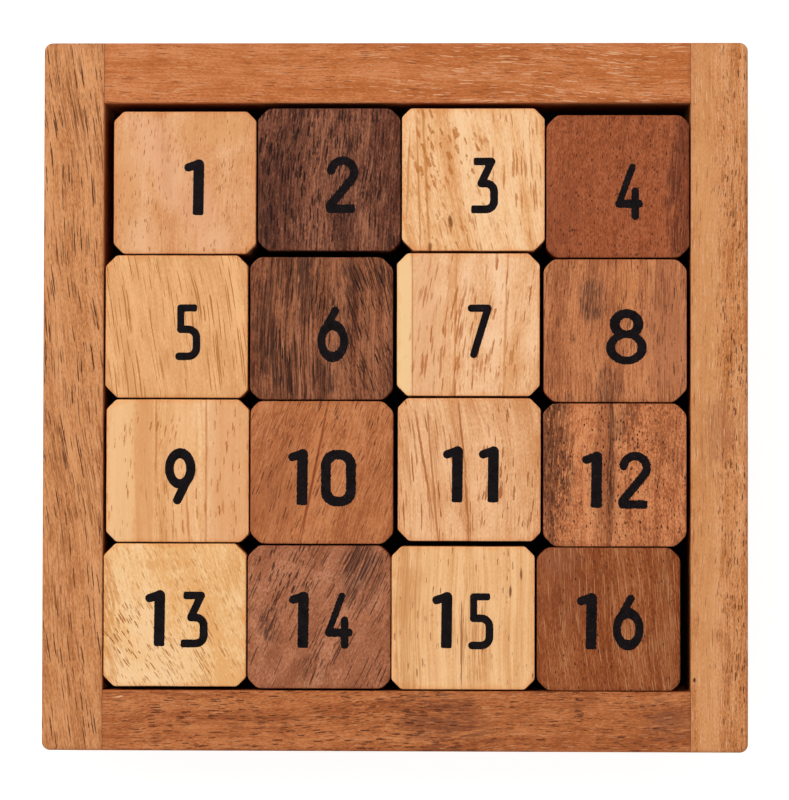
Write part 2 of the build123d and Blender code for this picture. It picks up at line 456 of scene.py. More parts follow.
def edge_wear_and_shade_mask(point, half, cut, seed):
    """1 along the outline of a piece's top, 0 farther inside."""
    # The zone carries edge wear and painted shade of the rounded arris.
    inside = edge_distance(point, half.x, half.y, cut)
    uneven = clouds(point, 2.5, 2.5, seed + 4.0) * RIM_RAGGED_MM
    return (inside + uneven).ramp(*RIM_FADE_MM)


END_FACE_FADE = (0.6, 0.85)  # from how squarely a face cuts the grain


def end_face_mask(tree, look):
    """1 on the faces that cut across the grain."""
    facing = object_normal(tree).turned(look.lean)
    return abs(facing.part(1)).ramp(*END_FACE_FADE)


END_GRAIN_SHADE = srgb(206, 190, 178)
END_GRAIN_STRENGTH = 0.45
FIBRE_RELIEF = 0.12  # beside a pore's depth of 1
GRIT_RELIEF = 0.08
WOOD_ROUGHNESS = 0.52
FIBRE_ROUGHNESS = 0.03
GRIT_ROUGHNESS = 0.02
PORE_ROUGHNESS = 0.25  # added inside a pore
WOOD_SHINE = 0.12
WOOD_BUMP = (0.6, 0.05)


def wood(name, node, look, seed, cut=0.0):
    """The material of one wooden piece, placed on its CAD node."""
    material, tree, shader = fresh_material(name)
    low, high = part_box(node)
    centre = (low + high) / 2 / MM
    half = (high - low) / 2 / MM
    point = object_point(tree).scaled((1, 1, 1), (-centre.x, -centre.y, -high.z / MM))
    grain = grain_place(point, look, half_length=max(half.x, half.y))
    colour, fibres, grit = wood_tone(grain, look, seed)
    relief = fibres * FIBRE_RELIEF + grit * GRIT_RELIEF
    roughness = fibres * FIBRE_ROUGHNESS + grit * GRIT_ROUGHNESS + WOOD_ROUGHNESS

    for mark in look.marks:
        colour = mixed(mark_mask(point, grain, mark, look), colour, srgb(*mark.colour))

    # Edge wear and painted shade: each top darkens and warms towards its outline, where the rounded arris
    # turns away from the light.
    rim = edge_wear_and_shade_mask(point, half, cut, seed) * look.edge_wear_and_shade_strength
    colour = mixed(rim, colour, srgb(*look.rim), blend="MULTIPLY")

    masks = [pore_mask(point, grain, kind, look, seed) for kind in look.pores]
    for kind, mask in zip(look.pores, masks):
        colour = mixed(mask, colour, srgb(*kind.colour))
    hollow = reduce(Value.top, masks)

    end_grain = end_face_mask(tree, look) * END_GRAIN_STRENGTH
    colour = mixed(end_grain, colour, END_GRAIN_SHADE, blend="MULTIPLY")
    roughness = roughness + hollow * PORE_ROUGHNESS
    finish_surface(shader, colour, roughness, relief - hollow, WOOD_BUMP, WOOD_SHINE)
    return material


# -------------------------------- the looks of the pieces

# Colours multiplied along each top's outline: partly edge wear, partly painted shade of the rounded arris.
PALE_EDGE_WEAR_AND_SHADE = (250, 220, 186)
DARK_EDGE_WEAR_AND_SHADE = (226, 212, 206)
HONEY = (186, 112, 48)
ALMOST_BLACK = (36, 18, 13)

TILE_LOOKS = {
    1: Look(
        shade=(211, 142, 92), body=(225, 163, 112), light=(234, 179, 134), lean=2,
        bands=0.35, band_width=6.0, fibres=0.4, mottle=0.55, mottle_size=4.0, grit=0.45,
        pores=[
            Pores((150, 92, 52), 0.17, 0.9, 0.14, 0.8),
            Pores((194, 126, 78), 0.26, 1.3, 0.35, 0.6, seed=2),
            Pores((168, 104, 56), 0.22, 1.1, 0.6, 0.75, area=(7.5, -1, 3, 9), seed=3),
        ],
        marks=[
            Mark(-3.6, 4, 0.9, 10, (202, 138, 98), 0.5, lean=-9, ragged=0.5),
            Mark(-10.5, -2, 2.5, 9, (216, 150, 94), 0.5, lean=0, ragged=0.4),
            Mark(6, 9.5, 6, 3, (220, 156, 98), 0.5, ragged=0.4),
            Mark(-1, 0, 3.5, 14, (232, 174, 134), 0.5, lean=-35, ragged=0.4),
        ],
        rim=PALE_EDGE_WEAR_AND_SHADE,
    ),
    2: Look(
        shade=(82, 40, 26), body=(119, 70, 50), light=(160, 101, 73), lean=4,
        bands=0.4, fibres=0.9, fibre_width=0.34, fibre_length=5, mottle=0.3, grit=0.6,
        pores=[
            Pores((46, 21, 15), 0.34, 3.0, 0.24, 0.85, vein=True),
            Pores((30, 13, 9), 0.34, 2.4, 0.75, 0.97, area=(-5, 2, 12, 16)),
            Pores((34, 15, 11), 0.3, 2.2, 0.55, 0.95, seed=3),
        ],
        marks=[
            Mark(-10.5, -5, 4, 11, (66, 33, 23), 0.55, ragged=0.5),
            Mark(3, -9, 1.6, 4.5, (54, 27, 19), 0.5, ragged=0.6),
            Mark(-5, 9, 1.2, 6, (62, 30, 21), 0.45, ragged=0.6),
        ],
        rim=DARK_EDGE_WEAR_AND_SHADE,
    ),
    3: Look(
        shade=(221, 155, 97), body=(240, 185, 132), light=(249, 205, 157), lean=-10,
        bands=0.6, band_width=3.0, fibres=0.45, mottle=0.3, grit=0.4,
        pores=[
            Pores(HONEY, 0.54, 1.9, 0.85, 0.92, lean=-24, area=(-5, 5, 9, 9)),
            Pores(HONEY, 0.46, 1.7, 0.55, 0.88, lean=-20, area=(-5, -5, 9, 9), seed=5),
            Pores(HONEY, 0.36, 4.0, 0.95, 0.88, lean=-4, area=(7, 2, 7, 14), seed=2),
            Pores(HONEY, 0.36, 3.6, 0.9, 0.88, lean=-10, area=(0, -10, 8, 4), seed=4),
        ],
        marks=[
            Mark(-8.4, 0, 0.3, 13, (202, 134, 72), 0.9, lean=-3, ragged=0.4),
            Mark(-9.7, -1, 0.18, 12, (196, 128, 68), 0.8, lean=-2, ragged=0.4),
            Mark(-11.6, 0, 0.2, 8, (202, 134, 74), 0.8, lean=2, ragged=0.4),
            Mark(-4.0, -7.4, 0.3, 1.1, (132, 76, 36), 0.95, lean=-12),
            Mark(-7.7, -12, 0.3, 0.8, (140, 82, 40), 0.9, lean=0),
        ],
        rim=PALE_EDGE_WEAR_AND_SHADE,
    ),
    4: Look(
        shade=(128, 63, 34), body=(156, 82, 46), light=(175, 99, 62), lean=2,
        bands=0.3, fibres=0.45, mottle=0.5, mottle_size=1.0, grit=0.9,
        pores=[
            Pores((62, 26, 16), 0.24, 0.5, 0.24, 0.9),
            Pores((108, 50, 27), 0.2, 1.3, 0.36, 0.65, seed=2),
            Pores((80, 36, 23), 0.3, 5, 0.42, 0.8, lean=1, area=(11, 0, 3.0, 15), vein=True),
        ],
        marks=[
            Mark(11.8, 0, 2.2, 15, (104, 51, 33), 0.6, lean=0, ragged=0.5),
            Mark(-10.5, -6, 4, 8, (138, 70, 42), 0.45, ragged=0.5),
        ],
        rim=DARK_EDGE_WEAR_AND_SHADE,
    ),
    5: Look(
        shade=(215, 153, 97), body=(229, 168, 113), light=(242, 185, 128), lean=-9, bow=0.6,
        bands=0.55, band_width=4, fibres=0.4, mottle=0.3, grit=0.4,
        pores=[
            Pores((172, 102, 44), 0.22, 7.5, 0.5, 0.92),
            Pores((192, 124, 64), 0.2, 3.6, 0.26, 0.75, seed=2),
        ],
        rim=PALE_EDGE_WEAR_AND_SHADE,
    ),
    6: Look(
        shade=(96, 47, 29), body=(143, 86, 56), light=(174, 110, 77), lean=0,
        bands=0.6, band_width=2.4, fibres=0.8, fibre_length=10, mottle=0.2, grit=0.5,
        pores=[
            Pores((54, 27, 19), 0.36, 7.0, 0.42, 0.9, lean=1, area=(-4.5, 0, 10, 17), vein=True),
            Pores((48, 24, 17), 0.34, 5.0, 0.38, 0.9, lean=-17, area=(9, 0, 7.5, 16), vein=True, seed=2),
            Pores((22, 11, 9), 0.28, 3.4, 0.7, 0.97, lean=2, area=(-4, 0, 10, 16)),
            Pores((24, 12, 10), 0.3, 2.8, 0.65, 0.97, lean=-20, area=(9, 0, 7, 15), seed=3),
        ],
        marks=[
            Mark(-3.0, 8, 1.7, 6, (46, 27, 22), 0.7, lean=3, ragged=0.6),
            Mark(0.4, -8.5, 1.5, 5, (46, 25, 20), 0.65, lean=-4, ragged=0.6),
            Mark(-9, 2, 0.8, 9, (58, 31, 22), 0.55, lean=0, ragged=0.6),
            Mark(5, 9.5, 1.0, 3, (54, 32, 26), 0.5, lean=-10, ragged=0.6),
        ],
        rim=DARK_EDGE_WEAR_AND_SHADE,
    ),
    7: Look(
        shade=(223, 161, 108), body=(241, 187, 139), light=(248, 203, 161), lean=3,
        bands=0.55, band_width=4, fibres=0.4, mottle=0.3, grit=0.4,
        pores=[
            Pores((178, 98, 40), 0.42, 4.2, 0.95, 0.9, lean=8, area=(-4.5, -1, 6.5, 15)),
            Pores((184, 104, 46), 0.34, 3.2, 0.75, 0.88, lean=6, area=(0, -4, 12, 11), seed=4),
            Pores((180, 102, 44), 0.36, 3.6, 0.7, 0.88, lean=7, area=(7, 2, 8, 15), seed=2),
        ],
        marks=[
            Mark(-7.5, -2, 3.0, 16, (224, 164, 116), 0.5, lean=0, ragged=0.2),
            Mark(-11.5, 0, 1.5, 22, (245, 203, 148), 0.9, lean=0, ragged=0.04, soft=0.3),
            Mark(-9.9, 0, 0.14, 18, (196, 134, 86), 0.8, lean=0, ragged=0.1),
            Mark(-2.3, 0, 0.2, 15, (206, 138, 82), 0.8, lean=1, ragged=0.3),
            Mark(6.6, 0, 0.2, 16, (206, 138, 82), 0.75, lean=2, ragged=0.3),
        ],
        rim=PALE_EDGE_WEAR_AND_SHADE,
    ),
    8: Look(
        shade=(156, 89, 53), body=(188, 116, 73), light=(211, 140, 91), lean=1,
        bands=0.6, fibres=0.75, fibre_length=9, mottle=0.3, band_width=3.0, grit=0.6,
        pores=[
            Pores((134, 73, 42), 0.26, 4.4, 0.28, 0.75, vein=True),
            Pores((80, 41, 26), 0.2, 1.7, 0.46, 0.9),
            Pores((78, 47, 38), 0.28, 2.6, 0.5, 0.8, area=(-4, 5.5, 2.6, 4.5), vein=True, seed=5),
            Pores((78, 47, 38), 0.28, 2.6, 0.5, 0.8, area=(-1, -10, 2.6, 4.0), vein=True, seed=6),
        ],
        marks=[
            Mark(-4.3, 5.5, 1.7, 3.6, (130, 82, 60), 0.5, ragged=0.6),
            Mark(-1, -10, 1.8, 3.0, (128, 78, 54), 0.5, ragged=0.6),
            Mark(1.5, 8, 1.4, 5, (208, 132, 78), 0.6, ragged=0.6),
            Mark(9.5, 0, 4, 15, (172, 106, 72), 0.5, lean=0, ragged=0.3),
        ],
        rim=DARK_EDGE_WEAR_AND_SHADE,
    ),
    9: Look(
        shade=(215, 151, 95), body=(232, 173, 117), light=(244, 196, 147), lean=0,
        bands=0.75, band_width=2.6, fibres=0.5, fibre_length=11, mottle=0.2, grit=0.4,
        pores=[
            Pores((176, 100, 42), 0.3, 2.3, 0.7, 0.88, area=(9, 0, 4.5, 13)),
            Pores((180, 106, 48), 0.3, 2.0, 0.8, 0.88, area=(-10.8, -1, 3.0, 11), seed=5),
            Pores((184, 110, 50), 0.28, 1.8, 0.55, 0.85, lean=6, area=(-4, 8, 6, 5), seed=2),
            Pores((188, 114, 52), 0.28, 2.4, 0.65, 0.8, area=(0, -6, 7, 8), seed=3),
        ],
        marks=[
            Mark(-10.3, 0, 2.5, 30, (241, 190, 136), 0.75, lean=0, ragged=0.05, soft=0.3),
            Mark(-5.9, 0, 1.7, 30, (219, 153, 97), 0.65, lean=0, ragged=0.08, soft=0.5),
            Mark(-3.8, 6, 0.2, 9, (196, 126, 68), 0.8, lean=0, ragged=0.3),
            Mark(0.5, 0, 2.4, 30, (240, 184, 131), 0.5, lean=0, ragged=0.1),
            Mark(5.1, 0, 0.18, 22, (198, 132, 82), 0.8, lean=0, ragged=0.2),
            Mark(9, 0, 3.6, 30, (225, 163, 113), 0.6, lean=0, ragged=0.1, soft=0.4),
            Mark(1.9, -8.5, 0.24, 4.5, (198, 126, 66), 0.8, lean=-3, ragged=0.3),
        ],
        rim=PALE_EDGE_WEAR_AND_SHADE,
    ),
    10: Look(
        shade=(161, 91, 51), body=(187, 113, 68), light=(202, 131, 85), lean=17,
        bands=0.55, fibres=0.6, mottle=0.35, mottle_size=2.2, grit=0.6,
        pores=[
            Pores((94, 47, 27), 0.22, 1.9, 0.34, 0.88, lean=21),
            Pores((138, 75, 40), 0.24, 3.6, 0.24, 0.7, vein=True, seed=4),
            Pores((108, 57, 32), 0.28, 1.8, 0.6, 0.75, lean=8, area=(-6, 7, 3, 3), seed=6),
        ],
        marks=[
            Mark(-1.6, 0, 1.2, 13, (200, 124, 73), 0.5, lean=11, ragged=0.3),
            Mark(-1.3, 0, 0.22, 14, (132, 63, 33), 0.85, lean=11, ragged=0.25),
            Mark(-2.2, -4, 0.15, 9, (142, 69, 37), 0.75, lean=13, ragged=0.25),
            Mark(-8, -3, 4.0, 8.0, (170, 101, 61), 0.5, lean=10, ragged=0.4),
        ],
        rim=DARK_EDGE_WEAR_AND_SHADE,
    ),
    11: Look(
        shade=(209, 143, 91), body=(231, 172, 123), light=(245, 192, 145), lean=-6, bow=1.2,
        bands=0.5, fibres=0.45, mottle=0.3, grit=0.4,
        pores=[
            Pores((160, 84, 34), 0.3, 6.5, 1.0, 0.9, area=(-7.5, 0, 6.5, 17)),
            Pores((162, 90, 42), 0.32, 2.6, 0.7, 0.9, lean=1, area=(8, 0, 7, 15), seed=2),
            Pores((174, 100, 48), 0.32, 3.8, 0.7, 0.88, lean=-4, area=(1, -6, 5, 8), seed=4),
            Pores((204, 136, 82), 0.4, 8.0, 0.3, 0.6, area=(-7, 0, 7, 17), vein=True, seed=6),
        ],
        marks=[
            Mark(-8.0, 1.0, 0.2, 9, (170, 98, 50), 0.85, lean=-10, ragged=0.4),
            Mark(-6.4, -2.0, 0.18, 13, (174, 102, 54), 0.8, lean=-5, ragged=0.4),
            Mark(-1.4, 6.5, 0.2, 6, (168, 96, 48), 0.85, lean=-6, ragged=0.4),
            Mark(-0.4, -6.0, 0.2, 7, (168, 96, 48), 0.85, lean=-3, ragged=0.4),
        ],
        rim=PALE_EDGE_WEAR_AND_SHADE,
    ),
    12: Look(
        shade=(152, 84, 49), body=(205, 125, 77), light=(219, 150, 101), lean=0,
        bands=0.6, band_width=2.6, fibres=0.5, mottle=0.4, mottle_size=1.6, grit=0.75,
        pores=[
            Pores((118, 64, 39), 0.36, 2.6, 0.15, 0.7, vein=True),
            Pores((58, 30, 22), 0.28, 0.7, 0.8, 0.85, area=(-11, 1, 3.0, 13), seed=8),
            Pores(ALMOST_BLACK, 0.24, 0.5, 0.3, 0.92),
            Pores((74, 38, 23), 0.4, 2.2, 0.6, 0.8, area=(-11, 2, 4.0, 15), vein=True, seed=2),
            Pores((156, 92, 54), 1.6, 0.2, 0.3, 0.5, vein=True, seed=6),
        ],
        marks=[
            Mark(-11.8, 1, 1.4, 14, (92, 48, 30), 0.6, lean=0, ragged=0.7),
            Mark(-1.6, 1, 2.2, 15, (142, 80, 48), 0.6, lean=0, ragged=0.5),
            Mark(-0.8, 1, 0.55, 13, (70, 34, 20), 0.8, lean=0, ragged=0.5),
            Mark(1.4, 9.5, 2.0, 3, (98, 54, 35), 0.6, lean=0, ragged=0.7),
        ],
        rim=DARK_EDGE_WEAR_AND_SHADE,
    ),
    13: Look(
        shade=(231, 171, 108), body=(244, 197, 141), light=(249, 207, 159), lean=-20,
        bands=0.5, band_width=7, fibres=0.28, mottle=0.3, mottle_size=4.5, grit=0.4,
        pores=[
            Pores((164, 94, 34), 0.25, 1.5, 0.62, 0.92, lean=-34, area=(-7, -5, 9, 9)),
            Pores((168, 96, 38), 0.22, 2.4, 0.4, 0.9, lean=-28, area=(4, -6, 8, 7), seed=4),
            Pores((196, 130, 68), 0.26, 1.4, 0.5, 0.75, lean=-26, seed=2),
        ],
        marks=[
            Mark(-11.4, 4, 1.2, 8, (206, 134, 64), 0.65, lean=0, ragged=0.8),
            Mark(-11.0, -8, 1.2, 4, (206, 136, 68), 0.55, lean=0, ragged=0.8),
            Mark(-1, 9, 5, 1.0, (216, 148, 80), 0.5, lean=0, ragged=0.8),
            Mark(10.6, 8, 1.3, 4, (216, 148, 80), 0.6, lean=0, ragged=0.8),
        ],
        rim=PALE_EDGE_WEAR_AND_SHADE,
    ),
    14: Look(
        shade=(140, 81, 53), body=(168, 103, 70), light=(192, 130, 97), lean=25,
        bands=0.5, fibres=0.35, mottle=0.45, grit=0.6,
        pores=[
            Pores((52, 25, 17), 0.32, 1.6, 0.85, 0.96, lean=16, area=(-6.5, 7.5, 8, 6.5)),
            Pores((62, 31, 21), 0.22, 3.4, 0.55, 0.94, seed=2),
            Pores((60, 33, 26), 0.3, 7.0, 0.66, 0.9, lean=27, area=(7.5, 7.5, 4.2, 7), vein=True, seed=3),
            Pores((72, 41, 32), 0.3, 2.2, 0.6, 0.85, lean=20, area=(-9, -1.5, 2.2, 3.2), vein=True, seed=5),
            Pores((72, 40, 28), 0.3, 2.0, 0.5, 0.8, lean=25, area=(-1, -9.5, 2.6, 2.6), vein=True, seed=7),
        ],
        marks=[Mark(8.2, 8, 1.2, 5.0, (112, 68, 53), 0.4, lean=27, ragged=0.7)],
        rim=DARK_EDGE_WEAR_AND_SHADE,
    ),
    15: Look(
        shade=(222, 161, 105), body=(237, 182, 127), light=(247, 197, 144), lean=0,
        bands=0.6, band_width=1.6, fibres=0.75, fibre_width=0.34, fibre_length=18, mottle=0.2, grit=0.35,
        pores=[
            Pores((204, 138, 82), 0.26, 11.0, 0.5, 0.8, area=(-9.5, 0, 3, 18), vein=True),
            Pores((198, 132, 76), 0.24, 8.0, 0.32, 0.8, area=(1, -2, 5, 14), vein=True, seed=2),
            Pores((146, 82, 34), 0.22, 1.4, 0.11, 0.9, seed=3),
        ],
        marks=[
            Mark(-10.2, 0, 1.0, 20, (214, 150, 94), 0.5, lean=0, ragged=0.3),
            Mark(-0.3, -5, 0.16, 8, (140, 82, 40), 0.8, lean=0, ragged=0.4),
            Mark(8.4, 4.8, 0.2, 1.0, (118, 66, 32), 0.9, lean=0),
            Mark(10.3, 7.8, 0.2, 1.0, (128, 74, 38), 0.85, lean=0),
        ],
        rim=PALE_EDGE_WEAR_AND_SHADE,
    ),
    16: Look(
        shade=(124, 59, 27), body=(146, 76, 37), light=(167, 98, 57), lean=-6,
        bands=0.45, fibres=0.65, mottle=0.3, grit=0.8,
        pores=[
            Pores((184, 124, 80), 0.14, 5.5, 0.2, 0.7, vein=True),
            Pores((196, 136, 90), 0.14, 4.2, 0.62, 0.85),
            Pores((56, 24, 14), 0.22, 0.6, 0.16, 0.9, seed=3),
        ],
        marks=[
            Mark(-8, 5, 5, 8, (126, 66, 40), 0.4, ragged=0.4),
            Mark(-9.5, 11, 3.5, 3, (160, 98, 66), 0.4, ragged=0.5),
        ],
        rim=DARK_EDGE_WEAR_AND_SHADE,
    ),
}

RAIL_LOOKS = {
    "left_stile": Look(
        shade=(178, 110, 63), body=(206, 139, 88), light=(221, 156, 105), lean=-7,
        bands=0.5, band_width=3, fibres=0.55, fibre_length=9, mottle=0.3, grit=0.55,
        pores=[
            Pores((66, 32, 16), 0.22, 4.6, 0.8, 0.95, area=(0, 26, 14, 46)),
            Pores((76, 38, 20), 0.2, 4.2, 0.5, 0.94, area=(0, -36, 14, 40), seed=2),
            Pores((158, 95, 51), 0.26, 4.0, 0.22, 0.75, vein=True, seed=3),
        ],
        rim=DARK_EDGE_WEAR_AND_SHADE, edge_wear_and_shade_strength=0.4,
    ),
    "right_stile": Look(
        shade=(180, 106, 54), body=(206, 137, 85), light=(224, 161, 111), lean=1,
        bands=0.55, band_width=3, fibres=0.5, fibre_length=11, mottle=0.3, grit=0.55,
        pores=[
            Pores((92, 48, 25), 0.19, 1.2, 0.7, 0.9, area=(2.8, 0, 3.8, 90)),
            Pores((164, 99, 53), 0.26, 4.0, 0.24, 0.65, area=(3, 0, 4, 90), vein=True, seed=4),
            Pores((240, 188, 142), 0.16, 2.0, 0.22, 0.65, seed=2),
            Pores((128, 76, 44), 0.18, 2.4, 0.1, 0.8, seed=6),
        ],
        marks=[
            Mark(-2.5, 0, 2.4, 70, (216, 153, 98), 0.5, lean=0, ragged=0.3),
            Mark(0, -6, 2.6, 5.5, (164, 100, 68), 0.5, lean=0, ragged=0.6),
            Mark(-4.4, -50, 0.25, 0.4, (66, 32, 20), 0.95, lean=0),
        ],
        rim=DARK_EDGE_WEAR_AND_SHADE, edge_wear_and_shade_strength=0.4,
    ),
    "top_rail": Look(
        shade=(175, 95, 45), body=(193, 113, 62), light=(210, 135, 87), lean=92,
        bands=0.5, band_width=2.4, fibres=0.55, fibre_length=9, mottle=0.35, grit=0.5,
        pores=[
            Pores((232, 176, 134), 0.2, 2.4, 0.46, 0.75, area=(26, 0, 36, 16)),
            Pores((220, 158, 112), 0.18, 2.0, 0.34, 0.65, seed=2),
            Pores((126, 64, 31), 0.18, 1.8, 0.34, 0.8, seed=4),
        ],
        rim=DARK_EDGE_WEAR_AND_SHADE, edge_wear_and_shade_strength=0.4,
    ),
    "bottom_rail": Look(
        shade=(152, 81, 42), body=(182, 106, 59), light=(202, 128, 78), lean=88,
        bands=0.55, band_width=2.4, fibres=0.5, fibre_length=8, mottle=0.35, grit=0.55,
        pores=[
            Pores((68, 32, 17), 0.2, 1.7, 0.85, 0.93, area=(-18, 0, 38, 16)),
            Pores((78, 38, 20), 0.2, 1.5, 0.5, 0.9, area=(38, 0, 24, 16), seed=7),
            Pores((132, 71, 38), 0.28, 3.4, 0.2, 0.7, vein=True, seed=5),
            Pores((212, 148, 100), 0.18, 1.6, 0.22, 0.55, seed=2),
        ],
        marks=[
            Mark(8, 0, 4.4, 7, (104, 54, 37), 0.6, lean=90, ragged=0.7),
            Mark(48, 0, 3, 4, (122, 76, 54), 0.5, lean=90, ragged=0.6),
            Mark(-49, 4.2, 0.14, 0.9, (228, 178, 136), 0.85, lean=80),
        ],
        rim=DARK_EDGE_WEAR_AND_SHADE, edge_wear_and_shade_strength=0.4,
    ),
}


# -------------------------------- other materials

INK_BLACK = srgb(8, 4, 5)
INK_WORN = srgb(24, 18, 21)
INK_ROUGHNESS = 0.62
INK_SHINE = 0.08
INK_BUMP = (0.5, 0.03)
SPECK_MM = (0.16, 0.22)
SPECK_START = 2.4  # the noise level where a bare speck starts, and where it is fully bare
SPECK_FULL = 3.0


def ink(name, speck_colour, speck_share):
    """Stamped bluish-black ink, matt and slightly uneven, with specks of the wood left bare."""
    material, tree, shader = fresh_material(name)
    point = object_point(tree)
    cover = clouds(point, 0.5, 0.5, seed=2.0, detail=2.0)
    pooled = clouds(point, 1.8, 1.8, seed=3.0, detail=1.0)
    tone = ramp_place(cover * 0.5 + pooled * 0.5)
    colour = colour_ramp(tone, ((0.25, INK_BLACK), (0.75, INK_WORN)))
    specks = clouds(point, *SPECK_MM, seed=5.0, detail=1.0)
    bare = specks.ramp(SPECK_START - speck_share, SPECK_FULL - speck_share)
    colour = mixed(bare, colour, speck_colour)
    roughness = pooled * 0.04 + INK_ROUGHNESS
    finish_surface(shader, colour, roughness, cover * 0.3 - bare, INK_BUMP, INK_SHINE)
    return material


VENEER_STOPS = (
    (0.2, srgb(203, 168, 124)),
    (0.5, srgb(219, 188, 146)),
    (0.8, srgb(231, 205, 168)),
)
VENEER_FLECK = srgb(172, 128, 84)
DARK_PLY = srgb(150, 104, 64)
# Near black for the panel's top: painted shade seen down the gaps between the tiles.
GAP_SHADE_STOPS = ((0.2, srgb(6, 4, 4)), (0.8, srgb(14, 10, 9)))
PLY_MM = 1.0
PLYWOOD_ROUGHNESS = 0.62
PLYWOOD_BUMP = (0.5, 0.04)


def plywood():
    """The base panel: near black on top, painted shade for the gaps; pale birch veneer below, plies at its
    edge.
    """
    material, tree, shader = fresh_material("plywood")
    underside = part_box("base_panel")[0].z / MM
    point = object_point(tree)
    up = object_normal(tree).part(2)
    grain = point.turned(90)
    lines = clouds(grain, 1.2, 40, seed=1.0, detail=2.0)
    flecks = dashes(grain, 0.25, 1.6, 0.4, seed=2.0)
    tone = ramp_place(lines * 0.7 + clouds(grain, 0.3, 6, seed=3.0) * 0.5)
    veneer = mixed(flecks * 0.5, colour_ramp(tone, VENEER_STOPS), VENEER_FLECK)
    ply = (point.part(2) - underside).math("MODULO", PLY_MM).ramp(0.42, 0.5)
    edge = mixed(ply * 0.5, veneer, DARK_PLY)
    bare_wood = mixed(abs(up).ramp(0.6, 0.4), veneer, edge)
    # The top face is near black: painted shade at the bottom of the gaps between the tiles.
    gap_shade = colour_ramp(ramp_place(lines), GAP_SHADE_STOPS)
    colour = mixed(up.ramp(0.4, 0.6), bare_wood, gap_shade)
    roughness = lines * 0.03 + PLYWOOD_ROUGHNESS
    finish_surface(shader, colour, roughness, lines * 0.2 - flecks, PLYWOOD_BUMP)
    return material


STEEL_STOPS = ((0.2, srgb(128, 124, 118)), (0.8, srgb(196, 194, 190)))
STEEL_ROUGHNESS = 0.34
STEEL_BUMP = (0.4, 0.01)


def steel():
    """Bright nail steel: drawn, slightly scratched and dulled."""
    material, tree, shader = fresh_material("bright_steel")
    point = object_point(tree)
    scratches = clouds(point, 0.06, 1.2, seed=1.0, detail=2.0)
    dulling = clouds(point, 0.8, 0.8, seed=2.0, detail=2.0)
    tone = ramp_place(scratches * 0.4 + dulling * 0.6)
    colour = colour_ramp(tone, STEEL_STOPS)
    plug(tree, shader.inputs["Metallic"], 1.0)
    finish_surface(shader, colour, dulling * 0.05 + STEEL_ROUGHNESS, scratches, STEEL_BUMP)
    return material


FLOOR_STOPS = ((0.2, srgb(180, 180, 180)), (0.8, srgb(184, 184, 184)))
FLOOR_PATCH_MM = 300
FLOOR_GLOW_SEEN = 0.78
FLOOR_GLOW_CAST = 0.15
WHITE = (1.0, 1.0, 1.0, 1.0)


def floor_material():
    """A plain white studio table. It glows for the camera, so that shadows on it stay faint, and much
    less for the tray's sides, which would otherwise be as bright as its top."""
    material, tree, shader = fresh_material("floor")
    patches = clouds(object_point(tree), FLOOR_PATCH_MM, FLOOR_PATCH_MM, detail=0.0)
    seen = add_node(tree, "ShaderNodeLightPath", output="Is Camera Ray")
    glow = seen * (FLOOR_GLOW_SEEN - FLOOR_GLOW_CAST) + FLOOR_GLOW_CAST
    plug(tree, shader.inputs["Base Color"], colour_ramp(ramp_place(patches), FLOOR_STOPS))
    plug(tree, shader.inputs["Emission Color"], WHITE)
    plug(tree, shader.inputs["Emission Strength"], glow)
    plug(tree, shader.inputs["Roughness"], 0.9)
    plug(tree, shader.inputs["Specular IOR Level"], 0.0)
    return material


# -------------------------------- outlines


def spread_points(corners, step):
    """Points about every step along a closed line through the corners."""
    points = []
    for start, end in zip(corners, corners[1:] + corners[:1]):
        pieces = max(1, round((end - start).length / step))
        points += [start.lerp(end, part / pieces) for part in range(pieces)]
    return points


def smoothed(points, passes):
    """A closed line with its corners eased: each point moves halfway to the middle of its neighbours."""
    for _ in range(passes):
        before = points[-1:] + points[:-1]
        after = points[1:] + points[:1]
        points = [(a + 2 * b + c) / 4 for a, b, c in zip(before, points, after)]
    return points


def outward(points):
    """The outward direction at each point of a closed counter-clockwise line."""
    before = points[-1:] + points[:-1]
    after = points[1:] + points[:1]
    along = [(b - a).normalized() for a, b in zip(before, after)]
    return [Vector((step.y, -step.x)) for step in along]


def is_dark(number):
    """The even tiles are dark wood. They are sanded rounder, and their ink bleeds more."""
    return number % 2 == 0


# -------------------------------- pieces


def new_piece(name, mesh, material):
    piece = bpy.data.objects.new(name, mesh)
    bpy.context.scene.collection.objects.link(piece)
    mesh.materials.append(material)
    return piece


def add_to_tile(name, number, mesh_maker, material, node):
    """Turns a bmesh into a piece that rides on a tile's body and stands for a CAD node."""
    mesh = bpy.data.meshes.new(name)
    mesh_maker.to_mesh(mesh)
    mesh_maker.free()
    piece = new_piece(name, mesh, material)
    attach(piece, f"tile_{number:02d}_body")
    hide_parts(node)


CORNER_CUT_MM = 1.8
CORNER_UNEVEN_MM = 0.6
OUTLINE_STEP_MM = 0.35
DARK_EASING = 4
PALE_EASING = 1
SANDING_MM = 0.03
SANDING_WAVE_MM = 7


